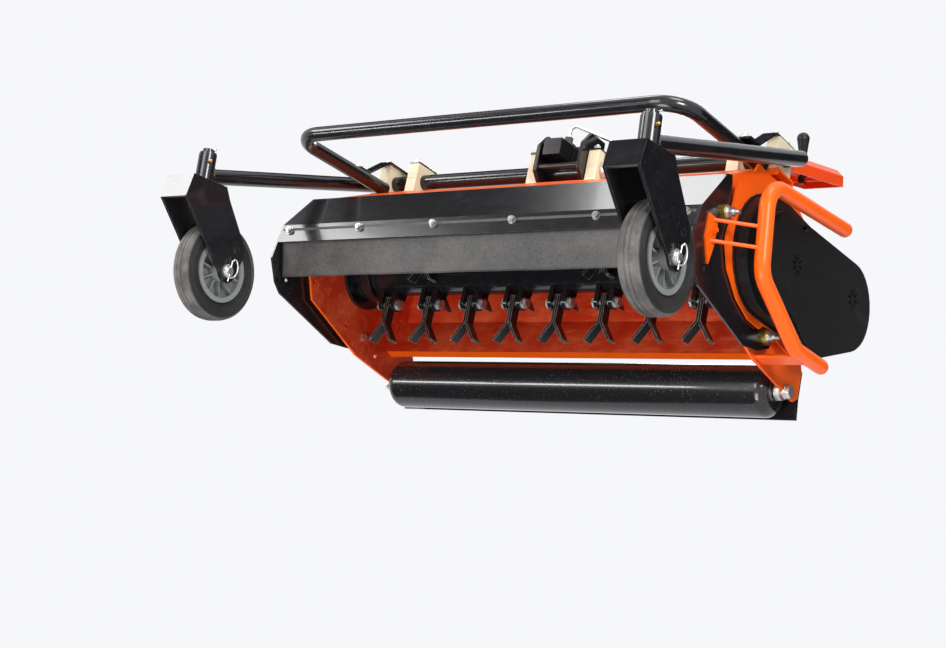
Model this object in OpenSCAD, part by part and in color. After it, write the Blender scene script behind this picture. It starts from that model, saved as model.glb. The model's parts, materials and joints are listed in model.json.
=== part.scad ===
// Front mulcher for a two-wheel tractor: a flail rotor under a folded deck,
// a rear roller, two castors on a swinging frame and a belt drive on one side.
// Lengths are millimetres. X runs across the machine, the front faces -Y, +Z is up.
// Shapes are drawn with y = 0 on the rotor axis and z = 0 on the ground,
// then place() moves the origin to the tractor coupling.

/* [Deck] */
// Width over the orange side plates
deck_w = 976; // [940:2:1040]
// Thickness of a side plate
plate_t = 6; // [4:0.5:8]
// Thickness of the folded shell
shell_t = 4; // [3:0.5:5]
// Room between the blade tips and the shell
tip_room = 16; // [12:1:22]
// Height of the rotor axis above the ground
rotor_h = 245; // [240:1:255]

/* [Hood] */
// How far the hood stands out past each orange side plate
hood_lap = 12; // [8:1:16]
// Thickness of the hood's folded sheet
hood_t = 3; // [2:0.5:4]
// Thickness of a hood side plate
hood_plate_t = 4; // [3:0.5:5]
// Height of the hood's top edge
hood_top = 347; // [340:1:352]
// Length of the rubber flap below its bolts
flap_l = 98; // [80:1:110]
// Thickness of the rubber flap
flap_t = 6; // [4:0.5:8]
// Bolts along the hood
hood_bolt_count = 6; // [4:1:8]

/* [Rotor] */
// Outside diameter of the rotor tube
rotor_d = 89; // [80:1:92]
// Wall of the rotor tube
rotor_wall = 6; // [4:1:8]
// Diameter of the rotor's stub shafts
stub_d = 40; // [34:1:44]
// Distance from the rotor axis to the blade bolts
bolt_r = 74; // [72:1:78]
// Diameter of a blade bolt
bolt_d = 12; // [10:1:14]
// Blade sets in each row
stations = 8; // [4:1:8]
// Side plate to the middle of the outermost blade set
blade_margin = 97; // [92:1:140]
// Sideways offset of the rear row
rear_shift = 45; // [40:1:50]

/* [Blades] */
// Bolt to tip
blade_l = 84; // [76:1:88]
// Width of a blade bar
blade_w = 24; // [20:1:24]
// Thickness of a blade bar
blade_t = 5; // [4:0.5:6]
// Bolt to the bend
blade_bend = 45; // [40:1:50]
// Angle of a blade leg from the stem
blade_splay = 34; // [25:1:38]
// Thickness of a lug
lug_t = 8; // [6:1:10]
// Room between the two lugs of a set
lug_gap = 26; // [22:1:30]

/* [Roller] */
// Roller diameter
roller_d = 104; // [90:2:110]
// Roller wall
roller_wall = 5; // [3:1:8]
// Roller axis behind the rotor axis
roller_y = 174; // [168:1:182]
// Gap between the roller's ends and the side plates
roller_gap = 14; // [10:1:20]

/* [Castors] */
// Castor wheel diameter
wheel_d = 200; // [180:2:210]
// Castor tyre width
tyre_w = 50; // [40:1:54]
// Castor rim diameter
rim_d = 127; // [110:1:135]
// Width between the fork legs
fork_in = 62; // [58:1:68]
// Thickness of a fork leg
fork_t = 5; // [4:0.5:6]
// Diameter of the king pin
king_d = 25; // [20:1:26]
// Outside diameter of the king-pin tube
king_tube_d = 38; // [36:1:42]
// Length of the king-pin tube
king_tube_l = 59; // [50:1:70]
// Forward lean of the king pin
king_lean = 5.8; // [4:0.1:8]
// King pin in front of the rotor axis
king_y = 500; // [490:1:520]
// Axle diameter of a castor wheel
axle_d = 14; // [12:1:16]
// Middle of a castor wheel outside the hood
castor_out = 17; // [14:1:24]

/* [Castor frame] */
// Diameter of a castor arm
arm_d = 32; // [28:1:34]
// Diameter of the cross tube that swings in the blocks
cross_d = 34; // [30:1:38]
// Wall of the cross tube
cross_wall = 4; // [3:0.5:5]
// Middle of the cross tube above the top of the deck
cross_rise = 48; // [44:1:60]
// Cross tube behind the rotor axis
cross_y = 14; // [8:1:18]
// Width of a bearing block along the tube
block_w = 26; // [20:1:30]
// Depth of a bearing block
block_l = 64; // [56:1:68]
// Thickness of a block's steel cap
cap_t = 4; // [3:0.5:5]

/* [Hoop] */
// Diameter of the front hoop's tube
hoop_d = 30; // [26:1:32]
// Height of the hoop's front bar
hoop_h = 433; // [425:1:445]
// Hoop bar in front of the rotor axis
hoop_y = 332; // [310:1:350]
// Bend radius of the hoop
hoop_bend = 62; // [50:1:80]

/* [Belt drive] */
// Depth of the belt case
case_depth = 56; // [50:1:60]
// Wall of the belt case
case_wall = 4; // [3:0.5:5]
// Stand-off of the belt case from the side plate
case_stand = 18; // [14:1:24]
// Diameter of the rotor pulley
rotor_pulley_d = 110; // [90:2:120]
// Diameter of the drive pulley
drive_pulley_d = 130; // [110:2:132]
// Drive shaft behind the rotor axis
drive_y = 252; // [246:1:256]
// Drive shaft above the rotor axis
drive_rise = 25; // [20:1:28]
// Diameter of the drive shaft
drive_shaft_d = 25; // [20:1:30]
// Diameter of the guard tube
guard_d = 30; // [26:1:34]

/* [Coupling] */
// Diameter of the coupling spigot
spigot_d = 60; // [50:1:70]
// Length of the coupling spigot
spigot_l = 60; // [40:1:80]
// Diameter of the input shaft
input_d = 20; // [16:1:25]
// Input shaft beyond the spigot
input_l = 42; // [30:1:60]
// Height of the shoulder where the input shaft leaves the spigot
input_shoulder = 2; // [1:0.5:4]
// Bolt circle of the coupling flange
flange_pcd = 110; // [90:1:120]
// Bolt holes of the coupling flange
flange_hole_d = 11; // [9:1:13]

/* [Hidden] */
$fn = 48;

run = 0.06;
gap = 0.3;
in_w = deck_w - 2 * plate_t;
rotor_axis = [0, rotor_h];
drive_axis = [drive_y, rotor_h + drive_rise];
roller_axis = [roller_y, roller_d / 2];
hood_w = deck_w + 2 * hood_lap;
castor_x = hood_w / 2 + castor_out;
pitch = (in_w - 2 * blade_margin) / (stations - 1);
input_bore = input_d + 2 * input_shoulder + 2 * run;
wheel_axis = [-412, wheel_d / 2];
hitch_y = 384;
steel = [0.62, 0.63, 0.64];
orange = [0.95, 0.32, 0.02];
black = [0.06, 0.06, 0.07];
cream = [0.9, 0.86, 0.74];
rubber = [0.13, 0.13, 0.12];

// Flat outline helpers

function unit(v) = v / norm(v);
function left_of(v) = [-v[1], v[0]];
function polar(r, a) = [r * cos(a), r * sin(a)];
function side_of(p, i) = left_of(unit(p[i + 1] - p[i]));
function mitre(p, i, t) =
    i == 0 ? p[0] + t * side_of(p, 0) :
    i == len(p) - 1 ? p[i] + t * side_of(p, i - 1) :
    let (n = side_of(p, i - 1), m = side_of(p, i)) p[i] + t * (n + m) / (1 + n * m);
function reversed(p) = [for (i = [len(p) - 1:-1:0]) p[i]];
function offset_path(p, t) = [for (i = [0:len(p) - 1]) mitre(p, i, t)];

// A sheet of thickness t folded along the points, on their left side
module folded(p, t) {
    polygon(concat(p, reversed(offset_path(p, t))));
}

// A flat ring
module ring(d, inner) {
    difference() {
        circle(d = d);
        circle(d = inner);
    }
}

function heading(a, b) = atan2(b[1] - a[1], b[0] - a[0]);
function wrapped(a) = a > 180 ? a - 360 : a <= -180 ? a + 360 : a;
function tangent_angle(c, i) =
    let (a = c[i], b = c[(i + 1) % len(c)])
    heading(a, b) - acos((a[2] - b[2]) / norm([b[0] - a[0], b[1] - a[1]]));

// The outline round a ring of circles [y, z, radius], listed anticlockwise, grown by g
module loop_outline(c, g = 0) {
    polygon([
        for (i = [0:len(c) - 1])
            let (from = tangent_angle(c, (i + len(c) - 1) % len(c)), to = tangent_angle(c, i))
            let (sweep = (to - from + 720) % 360, steps = max(2, ceil(sweep / 12)))
            for (k = [0:steps]) [c[i][0], c[i][1]] + polar(c[i][2] + g, from + k * sweep / steps)
    ]);
}

// Placing helpers

module place() {
    translate([0, -hitch_y, -drive_axis[1]]) children();
}

// A side profile of y and z, drawn out along X and centred on c
module along_x(w, c = 0) {
    translate([c - w / 2, 0, 0])
        rotate([90, 0, 90])
            linear_extrude(w) children();
}

module rod_x(d, w, at, c = 0) {
    translate([c, at[0], at[1]])
        rotate([0, 90, 0])
            cylinder(d = d, h = w, center = true);
}

module rod_between(a, b, d) {
    v = b - a;
    translate(a)
        rotate([0, acos(v[2] / norm(v)), atan2(v[1], v[0])])
            cylinder(d = d, h = norm(v));
}

function turn_at(p, i) = wrapped(heading(p[i], p[i + 1]) - heading(p[i - 1], p[i]));
function cut_at(p, i, r) = i == 0 || i == len(p) - 1 ? 0 : r * tan(abs(turn_at(p, i)) / 2);

// A round bar of diameter d along flat points, bent to radius r at each one
module bent_bar(p, r, d) {
    last = len(p) - 1;
    for (i = [0:last - 1]) {
        dir = unit(p[i + 1] - p[i]);
        a = p[i] + (cut_at(p, i, r) - (i > 0 ? 0.6 : 0)) * dir;
        b = p[i + 1] - (cut_at(p, i + 1, r) - (i + 1 < last ? 0.6 : 0)) * dir;
        translate([a[0], a[1], 0]) rotate([0, 90, heading(a, b)])
            cylinder(d = d, h = norm(b - a));
    }
    for (i = [1:len(p) - 2]) {
        turn = turn_at(p, i);
        way = turn > 0 ? 1 : -1;
        a = p[i] - cut_at(p, i, r) * unit(p[i] - p[i - 1]);
        c = a + way * r * left_of(unit(p[i] - p[i - 1]));
        translate([c[0], c[1], 0])
            rotate([0, 0, heading(c, a) - (way < 0 ? abs(turn) : 0)])
                rotate_extrude(angle = abs(turn)) translate([r, 0]) circle(d = d - 0.1);
    }
}

// The same bar in a plane across X
module bent_along_x(x, p, r, d) {
    translate([x, 0, 0]) rotate([90, 0, 90]) bent_bar(p, r, d);
}

module mirrored(side) {
    mirror([side < 0 ? 1 : 0, 0, 0]) children();
}

// A hexagon-head bolt along +X with its head's seat at x = 0
module bolt_x(d, l, at, x) {
    translate([x, at[0], at[1]]) rotate([0, 90, 0]) {
        cylinder(d = d, h = l);
        translate([0, 0, -0.65 * d]) cylinder(d = 1.9 * d, h = 0.65 * d, $fn = 6);
    }
}

// A nut or head that stands on a face, looking along +Z
module stud_head(d) {
    cylinder(d = 2.1 * d, h = 0.15 * d);
    translate([0, 0, 0.15 * d]) cylinder(d = 1.8 * d, h = 0.7 * d, $fn = 6);
    cylinder(d = d, h = 1.3 * d);
}

// Deck

shell_r = (bolt_r + blade_l + tip_room + shell_t) / cos(15);
hood_crown = [-200, hood_top];
hood_bend = [-270, hood_top - 89];
hood_foot = [-278, hood_top - 130];
hood_line = [hood_foot, hood_bend, hood_crown];
hood_inward = -left_of(unit(hood_crown - hood_bend));
shell_lip = hood_crown + hood_t * hood_inward;
shell_vertices = [for (a = [105:-30:-45]) rotor_axis + polar(shell_r, a)];
shell_foot = shell_vertices[5];
shell_path = concat(
    [shell_lip + 25 * unit(hood_bend - hood_crown), shell_lip],
    shell_vertices,
    [shell_foot + [14, -5]]
);
deck_top = rotor_h + shell_r * sin(75);
cross_h = deck_top + cross_rise;
cross_axis = [cross_y, cross_h];

module deck_shell() {
    color(orange)
        along_x(in_w) folded(shell_path, -shell_t);
}

plate_edge = concat(
    [shell_lip, [-182, 200], [-150, 135], [25, 69]],
    [roller_axis + [38, -9], roller_axis + [54, 2], roller_axis + [54, 58]],
    reversed([for (i = [0:4]) shell_vertices[i]])
);
housing_bolts = [for (a = [45:90:315]) rotor_axis + polar(60, a)];
hood_bolt_upper = [-190, rotor_h + 30];
hood_bolt_lower = [34, rotor_h - 131];

spike = [[-62, deck_top + 2], [-69, deck_top + 2], [-80, deck_top - 18]];

module side_plate(side) {
    color(orange)
        along_x(plate_t, side * (in_w / 2 + plate_t / 2))
            difference() {
                polygon(side > 0 ? concat(plate_edge, spike) : plate_edge);
                translate(rotor_axis) circle(d = stub_d + 16);
                for (at = concat(housing_bolts, [hood_bolt_upper, hood_bolt_lower]))
                    translate(at) circle(d = 10.2);
                translate(roller_axis) circle(d = 16.2);
                for (at = [[-157, 173], [-27, 119], [88, 88]])
                    translate(at) circle(d = 9);
            }
}

// Hood: folded front sheet, its two side plates and the rubber flap

module front_hood() {
    color(black)
        along_x(hood_w - 2 * hood_plate_t)
            folded(hood_line, -hood_t);
}

hood_side_edge = [
    [-183, hood_top + 6], hood_crown, hood_bend, hood_foot,
    [-284, 180], [-258, 135], [-236, 117], [-45, 72], [10, 80], [58, 100], [62, 120],
    [48, 133], [-14, 128], [-88, 146], [-138, 184], [-164, 230], [-168, 275], [-166, 305]
];

module hood_side(side) {
    color(black)
        along_x(hood_plate_t, side * (hood_w / 2 - hood_plate_t / 2))
            difference() {
                polygon(hood_side_edge);
                translate(hood_bolt_upper) circle(d = 10.2);
                translate(hood_bolt_lower) circle(d = 10.2);
                translate([-227, 151]) circle(d = 8.2);
            }
}

hood_face = unit(hood_foot - hood_bend);
hood_face_in = left_of(hood_face);
bolt_line = hood_bend + 15 * hood_face;
flap_start = hood_bend + 8 * hood_face + hood_t * hood_face_in;
flap_knee = hood_foot + hood_t * hood_face_in;
flap_path = [flap_start, flap_knee, flap_knee + (flap_l - 28) * unit([23, -70])];
strip_path = offset_path([flap_start, flap_start + 16 * hood_face], flap_t);
flap_w = hood_w - 2 * hood_plate_t - 8;

module rubber_flap() {
    color(rubber)
        along_x(flap_w) folded(flap_path, flap_t);
}

module flap_strip() {
    color(black)
        along_x(flap_w - 10) folded(strip_path, 3);
}

hood_bolt_pitch = (hood_w - 54) / (hood_bolt_count - 1);

module hood_bolts() {
    color(steel)
        for (i = [0:hood_bolt_count - 1])
            translate([-(hood_w - 54) / 2 + i * hood_bolt_pitch, bolt_line[0], bolt_line[1]])
                rotate([-atan2(hood_face_in[0], hood_face_in[1]) - 180, 0, 0])
                    stud_head(8);
}

// Fasteners and bearings on the side plates

module deck_bolts() {
    color(steel)
        for (side = [-1, 1]) mirrored(side) {
            for (at = [hood_bolt_upper, hood_bolt_lower])
                difference() {
                    union() {
                        bolt_x(10, hood_w / 2 - in_w / 2 + 32, at, in_w / 2);
                        rod_x(24, 2, at, hood_w / 2 + 9);
                        rod_x(18, 10, at, hood_w / 2 + 15);
                    }
                }
            for (at = [hood_bolt_upper, hood_bolt_lower])
                difference() {
                    rod_x(22, hood_w / 2 - hood_plate_t - deck_w / 2, at,
                        (hood_w / 2 - hood_plate_t + deck_w / 2) / 2);
                    rod_x(10, 40, at, hood_w / 2 - hood_plate_t);
                }
        }
}

module spacer_washers() {
    color([0.8, 0.68, 0.2])
        for (side = [-1, 1])
            for (at = [hood_bolt_upper, hood_bolt_lower])
                along_x(8, side * (hood_w / 2 + 4))
                    translate(at) ring(30, 10.1);
}

module bearing_housing(side) {
    color(black)
        mirrored(side) {
            along_x(8, in_w / 2 - 4)
                difference() {
                    translate(rotor_axis) ring(148, stub_d + 2 * run);
                    for (at = housing_bolts) translate(at) circle(d = 10.2);
                }
            along_x(12, in_w / 2 - 14)
                translate(rotor_axis) ring(96, stub_d + 2 * run);
            if (side < 0)
                along_x(10, deck_w / 2 + 5)
                    translate(rotor_axis) circle(d = 92);
            for (at = housing_bolts)
                translate([in_w / 2 - 8, at[0], at[1]]) rotate([0, -90, 0])
                    cylinder(d = 17, h = 6, $fn = 6);
        }
}

// Roller with its axle stubs and the scraper behind it

roller_w = in_w - 2 * roller_gap;
cap_r = 22;

module roller() {
    color(black)
        difference() {
            translate([0, roller_axis[0], roller_axis[1]]) rotate([0, 90, 0])
                rotate_extrude($fn = 96)
                    difference() {
                        union() {
                            translate([0, -roller_w / 2 + cap_r]) square([roller_d / 2, roller_w - 2 * cap_r]);
                            translate([0, -roller_w / 2]) square([roller_d / 2 - cap_r, roller_w]);
                            for (s = [-1, 1])
                                translate([roller_d / 2 - cap_r, s * (roller_w / 2 - cap_r)]) circle(r = cap_r);
                        }
                        translate([0, -roller_w / 2 + cap_r]) square([roller_d / 2 - roller_wall, roller_w - 2 * cap_r]);
                    }
            rod_x(24 + 2 * run, roller_w + 2, roller_axis);
        }
}

module roller_axles() {
    color(steel)
        for (side = [-1, 1]) mirrored(side) {
            rod_x(24, cap_r + roller_gap - 1, roller_axis, in_w / 2 - (cap_r + roller_gap - 1) / 2);
            rod_x(36, roller_gap - 2, roller_axis, in_w / 2 - (roller_gap - 2) / 2);
            rod_x(16, plate_t, roller_axis, in_w / 2 + plate_t / 2);
            translate([deck_w / 2, roller_axis[0], roller_axis[1]]) rotate([0, 90, 0]) {
                cylinder(d = 30, h = 3);
                cylinder(d = 27, h = 12, $fn = 6);
            }
        }
}

module roller_scraper() {
    color(black)
        along_x(deck_w)
            folded([
                roller_axis + [54, 58], roller_axis + [54, 2], roller_axis + [60, -40]
            ], 4);
}

// Front hoop, with its feet welded to the channels

leg_x = in_w / 2 - 18;
hoop_end = [cross_y - block_l / 2 - 7, deck_top + hoop_d / 2 + 4];
function hoop_leg_top(y) =
    hoop_h + (hoop_end[1] - hoop_h) * (y + hoop_y - hoop_bend) / (hoop_end[0] + hoop_y - hoop_bend) + hoop_d / 2;

module hoop_leg() {
    rod_between([leg_x, -hoop_y + hoop_bend, hoop_h], [leg_x, hoop_end[0], hoop_end[1]], hoop_d);
}

module front_hoop() {
    color(black) {
        translate([0, -hoop_y, hoop_h])
            rotate([0, 90, 0])
                cylinder(d = hoop_d, h = 2 * (leg_x - hoop_bend), center = true);
        for (side = [-1, 1]) mirrored(side) {
            translate([leg_x - hoop_bend, -hoop_y + hoop_bend, hoop_h])
                rotate([0, 0, -90])
                    rotate_extrude(angle = 90) translate([hoop_bend, 0]) circle(d = hoop_d);
            hoop_leg();
        }
    }
}

// Bearing blocks of the cross tube

outer_block = in_w / 2 - 2;
block_x = [for (x = [73, in_w / 2 - 83, outer_block]) each [-x, x]];
channel_top = cross_h - 35;
channel_t = 4;
block_top = cross_h + 34;
channel_spans = [[0, 176], [in_w / 2 - 42, 126], [-in_w / 2 + 42, 126]];

module block_channels() {
    color(orange)
        for (s = channel_spans)
            along_x(s[1], s[0])
                folded([
                    [cross_y - block_l / 2 - 6, deck_top],
                    [cross_y - block_l / 2 - 6, channel_top],
                    [cross_y + block_l / 2, channel_top],
                    [cross_y + block_l / 2, deck_top]
                ], -channel_t);
}

module bearing_blocks() {
    color(cream)
        for (x = block_x)
            along_x(block_w, x)
                difference() {
                    translate([cross_y - block_l / 2, channel_top]) square([block_l, block_top - channel_top]);
                    translate(cross_axis) circle(d = cross_d + 2 * run);
                    translate([cross_y - block_l / 2, cross_h - 0.25]) square([block_l, 0.5]);
                }
}

strap_path = [
    [cross_y + block_l / 2 + 6, block_top], [-26, block_top],
    [-84, hoop_leg_top(-84) + gap], [-124, hoop_leg_top(-124) + gap]
];

module block_caps() {
    color(black) {
        for (x = block_x)
            if (abs(x) < outer_block)
                along_x(block_w, x)
                    translate([cross_y - block_l / 2 - 2, block_top]) square([block_l + 4, cap_t]);
        for (side = [-1, 1])
            along_x(block_w + 4, side * (outer_block - 4))
                folded(strap_path, -cap_t);
    }
}

module block_bolts() {
    color(steel) {
        for (x = block_x)
            for (s = [-1, 1])
                translate([x, cross_y + s * (block_l / 2 - 8), block_top + cap_t]) stud_head(8);
        for (side = [-1, 1])
            translate([side * (outer_block - 8), -112, hoop_leg_top(-112) + gap + cap_t + 0.7]) stud_head(8);
    }
}

// Centre bracket with the position feeler of the castor frame

cheek_x = 54;
housing_w = 40;
housing_z = cross_h + cross_d / 2 + 3;
housing_h = 36;
boot_x = -20;
crank_dx = 118;
pin_rise = 33;
rod_d = 8;

module cheek_outline() {
    difference() {
        polygon([
            [cross_y - 30, channel_top], [cross_y - 54, channel_top + 22], [cross_y - 54, cross_h + 44],
            [cross_y - 30, cross_h + 74], [cross_y + 22, cross_h + 74], [cross_y + 30, channel_top]
        ]);
        translate(cross_axis) circle(d = cross_d + 6);
    }
}

module lock_bracket() {
    color(black) {
        for (x = [-cheek_x, cheek_x]) along_x(8, x) cheek_outline();
    }
    color(steel)
        rod_x(12, 2 * cheek_x - 8, [cross_y - 44, cross_h - 2]);
}

module lock_housing() {
    color(black)
        difference() {
            translate([-cheek_x + 4, cross_y - 58, housing_z]) cube([2 * cheek_x - 8, 84, housing_h]);
            translate([boot_x + housing_w / 2 + 4, cross_y - 60, housing_z - 1]) cube([80, 52, housing_h + 2]);
            translate([-cheek_x - 1, cross_y - 60, housing_z - 1]) cube([cheek_x - housing_w / 2 + boot_x + 3, 52, housing_h + 2]);
            translate([boot_x, cross_y, housing_z - 1]) cylinder(d = rod_d + 2 * run + 0.6, h = housing_h + 2);
        }
}

boot_z = housing_z + housing_h;

module rod_boot() {
    color(rubber)
        translate([boot_x, cross_y, boot_z])
            rotate_extrude()
                difference() {
                    union() {
                        square([22, 5]);
                        square([17, 10]);
                        square([9, 26]);
                    }
                    square([rod_d / 2 + run, 26]);
                }
}

rod_top = boot_z + 58;
clevis_at = [boot_x + crank_dx, cross_y, cross_h + pin_rise];

module feeler_rod() {
    color(steel) {
        difference() {
            translate([0, cross_y, 0]) rotate([90, 0, 0])
                bent_bar([
                    [boot_x, housing_z + 2], [boot_x, rod_top],
                    [clevis_at[0] - 3, clevis_at[2] + 32], [clevis_at[0], clevis_at[2] + 5]
                ], 12, rod_d);
            translate(clevis_at) rotate([90, 0, 0]) cylinder(d = 9.6, h = 20, center = true);
        }
        translate(clevis_at) rotate([90, 0, 0])
            difference() {
                cylinder(d = 17, h = 7, center = true);
                cylinder(d = 9.6, h = 9, center = true);
            }
    }
}

module rod_clevis() {
    color(steel)
        translate([clevis_at[0], cross_y, cross_h])
            difference() {
                union() {
                    rotate([0, 90, 0]) cylinder(d = cross_d + 12, h = 20, center = true);
                    for (s = [-1, 1])
                        translate([-9, s * 11 - 3, 14]) cube([18, 6, pin_rise - 5]);
                    translate([0, 0, pin_rise]) rotate([90, 0, 0]) cylinder(d = 6, h = 32, center = true);
                }
                rotate([0, 90, 0]) cylinder(d = cross_d, h = 40, center = true);
            }
}

// Castor frame

arm_front = [-king_y - 2, rotor_h + 25];
arm_dir = unit(cross_axis - arm_front);
king_foot = [-king_y, 257];
king_dir = [-sin(king_lean), cos(king_lean)];

module cross_tube() {
    span = 2 * (castor_x - arm_d / 2) - 0.2;
    color(black)
        difference() {
            rod_x(cross_d, span, cross_axis);
            rod_x(cross_d - 2 * cross_wall, span + 2, cross_axis);
        }
}

// A round bar along +Z whose far end has rounded edges
module nosed_bar(d, l, r) {
    rotate_extrude() {
        square([d / 2, l - r]);
        square([d / 2 - r, l]);
        translate([d / 2 - r, l - r]) circle(r = r);
    }
}

module arm(side) {
    reach = norm(cross_axis - arm_front) + arm_d / 2 + 10;
    color(black)
        difference() {
            translate([side * castor_x, arm_front[0], arm_front[1]])
                rotate([atan2(arm_dir[1], arm_dir[0]) - 90, 0, 0])
                    nosed_bar(arm_d, reach, 7);
            king_line(side, king_tube_d, -40, king_tube_l + 60);
        }
}

// A cylinder on the king-pin axis, from height a above the tube's foot
module king_line(side, d, a, l) {
    translate([side * castor_x, king_foot[0] + a * king_dir[0], king_foot[1] + a * king_dir[1]])
        rotate([king_lean, 0, 0])
            cylinder(d = d, h = l);
}

module king_tube(side) {
    color(black)
        difference() {
            king_line(side, king_tube_d, 0, king_tube_l);
            king_line(side, king_d + 2 * run, -1, king_tube_l + 2);
        }
}

module grease_nipples() {
    color([0.8, 0.6, 0.2])
        for (side = [-1, 1])
            translate([side * castor_x, king_foot[0] + 40 * king_dir[0], king_foot[1] + 40 * king_dir[1]])
                rotate([0, 0, -30]) rotate([90, 0, 90]) {
                    translate([0, 0, king_tube_d / 2 + 0.1]) cylinder(d = 7, h = 5, $fn = 6);
                    translate([0, 0, king_tube_d / 2 + 1]) cylinder(d = 5, h = 8);
                    translate([0, 0, king_tube_d / 2 + 9]) sphere(d = 6);
                }
}

// Castor fork with its welded king pin

crown_rear = king_foot + [32, 3] - gap * king_dir;
crown_front = king_foot + [-62, -7] - gap * king_dir;
crown_foot = crown_front + [-7, -50];

module leg_outline() {
    difference() {
        union() {
            polygon([
                crown_rear, crown_front, crown_foot,
                wheel_axis + [-21, -11], wheel_axis + [0, -24], wheel_axis + [20, -12],
                wheel_axis + [36, 44], wheel_axis + [32, 62], crown_rear + [16, -22]
            ]);
            translate(wheel_axis) circle(d = 48);
        }
        for (at = [[0, 0], [5, 25], [11, 49]])
            translate(wheel_axis + at) circle(d = axle_d + 0.1);
    }
}

module fork(side) {
    color(black) {
        for (s = [-1, 1])
            along_x(fork_t, side * castor_x + s * (fork_in + fork_t) / 2)
                leg_outline();
        along_x(fork_in + fork_t, side * castor_x)
            folded([crown_rear, crown_front, crown_foot], 6);
    }
    color(steel) {
        king_line(side, king_d, -3, king_tube_l + 14);
        king_line(side, king_tube_d - 2, king_tube_l + gap, 3);
        king_line(side, king_d + 4, king_tube_l + gap + 3, 2);
    }
}

module axle_pin(side) {
    reach = fork_in / 2 + fork_t;
    color(steel)
        translate([side * castor_x, wheel_axis[0], wheel_axis[1]]) {
            rotate([0, 90, 0]) {
                cylinder(d = axle_d, h = 2 * reach + 20, center = true);
                translate([0, 0, reach]) cylinder(d = 28, h = 3);
                translate([0, 0, -reach - 9]) cylinder(d = 24, h = 9);
                translate([0, 0, reach + 3]) cylinder(d = 20, h = 3);
            }
            translate([reach + 8, 0, 0]) cylinder(d = 3, h = 44, center = true);
        }
}

// Castor wheel

module tyre(side) {
    r = wheel_d / 2;
    h = tyre_w / 2;
    color(rubber)
        translate([side * castor_x, wheel_axis[0], wheel_axis[1]]) rotate([0, 90, 0])
            rotate_extrude($fn = 96)
                difference() {
                    polygon([
                        [rim_d / 2, -h + 8], [rim_d / 2 + 8, -h + 2], [r - 18, -h], [r - 7, -h + 3], [r - 1.5, -h + 9],
                        [r, -h / 3], [r, h / 3],
                        [r - 1.5, h - 9], [r - 7, h - 3], [r - 18, h], [rim_d / 2 + 8, h - 2], [rim_d / 2, h - 8]
                    ]);
                    for (i = [-1.5:1:1.5])
                        translate([r, i * h / 2.6]) circle(d = 3.2, $fn = 16);
                }
}

rim_ribs = 10;

module rim(side) {
    hub_w = fork_in - 4;
    h = tyre_w / 2 - 4;
    r = rim_d / 2;
    color([0.5, 0.52, 0.5])
        translate([side * castor_x, wheel_axis[0], wheel_axis[1]]) rotate([0, 90, 0])
            difference() {
                union() {
                    rotate_extrude($fn = 96)
                        polygon([
                            [axle_d / 2 - 2, -hub_w / 2], [20, -hub_w / 2], [20, -2], [r - 5, -2], [r - 5, 4 - h],
                            [r - 10, 4 - h], [r - 10, -h], [r, -h], [r, h], [r - 10, h], [r - 10, h - 4],
                            [r - 5, h - 4], [r - 5, 2], [20, 2], [20, hub_w / 2], [axle_d / 2 - 2, hub_w / 2]
                        ]);
                    for (i = [0:rim_ribs - 1])
                        rotate([0, 0, (i + 0.5) * 360 / rim_ribs])
                            translate([17, -1.75, 7 - h]) cube([r - 20, 3.5, 2 * h - 14]);
                }
                cylinder(d = axle_d + 2 * run, h = hub_w + 2, center = true);
            }
}

// Rotor

rotor_w = in_w - 64;
row_lead = 9;
function row_at(k) = rotor_axis + bolt_r * [-sin(row_lead + k), -cos(row_lead + k)];
front_row = row_at(0);
upper_row = row_at(120);
rear_row = row_at(-120);
function station_x(i, shift) = (i - (stations - 1) / 2) * pitch - shift;
rows = [[0, 0, 0], [120, 0, 0], [-120, 1, rear_shift]];

module rotor_tube() {
    color(black) {
        along_x(rotor_w) translate(rotor_axis) ring(rotor_d, rotor_d - 2 * rotor_wall);
        for (s = [-1, 1]) {
            along_x(22, s * (rotor_w / 2 - 11)) translate(rotor_axis) ring(118, rotor_d);
            along_x(6, s * (rotor_w / 2 - 3)) translate(rotor_axis) circle(d = rotor_d - 2 * rotor_wall);
        }
        rod_x(stub_d, (deck_w - rotor_w) / 2 + 6 - 12, rotor_axis, -(rotor_w + (deck_w - rotor_w) / 2 - 6) / 2);
        rod_x(stub_d, belt_x + 20 - rotor_w / 2, rotor_axis, (belt_x + 20 + rotor_w / 2) / 2);
    }
}

module lug_outline() {
    difference() {
        union() {
            translate([0, -bolt_r]) circle(r = 15);
            polygon([[-20, -rotor_d / 2 + 8], [20, -rotor_d / 2 + 8], [14.5, -bolt_r - 3], [-14.5, -bolt_r - 3]]);
        }
        circle(d = rotor_d);
        translate([0, -bolt_r]) circle(d = bolt_d);
    }
}

module rotor_lugs() {
    color(black)
        for (row = rows)
            for (i = [row[1]:stations - 1])
                for (s = [-1, 1])
                    along_x(lug_t, station_x(i, row[2]) + s * (lug_gap + lug_t) / 2)
                        translate(rotor_axis) rotate(-row_lead - row[0]) lug_outline();
}

module blade_bolts() {
    reach = lug_gap / 2 + lug_t;
    color(steel)
        for (row = rows)
            for (i = [row[1]:stations - 1])
                translate([station_x(i, row[2]), row_at(row[0])[0], row_at(row[0])[1]]) rotate([0, 90, 0]) {
                    cylinder(d = bolt_d, h = 2 * reach + 14, center = true);
                    translate([0, 0, reach]) cylinder(d = 24, h = 2);
                    translate([0, 0, reach + 2]) cylinder(d = 21, h = 9, $fn = 6);
                    translate([0, 0, -reach - 8]) cylinder(d = 21, h = 8, $fn = 6);
                }
}

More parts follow.
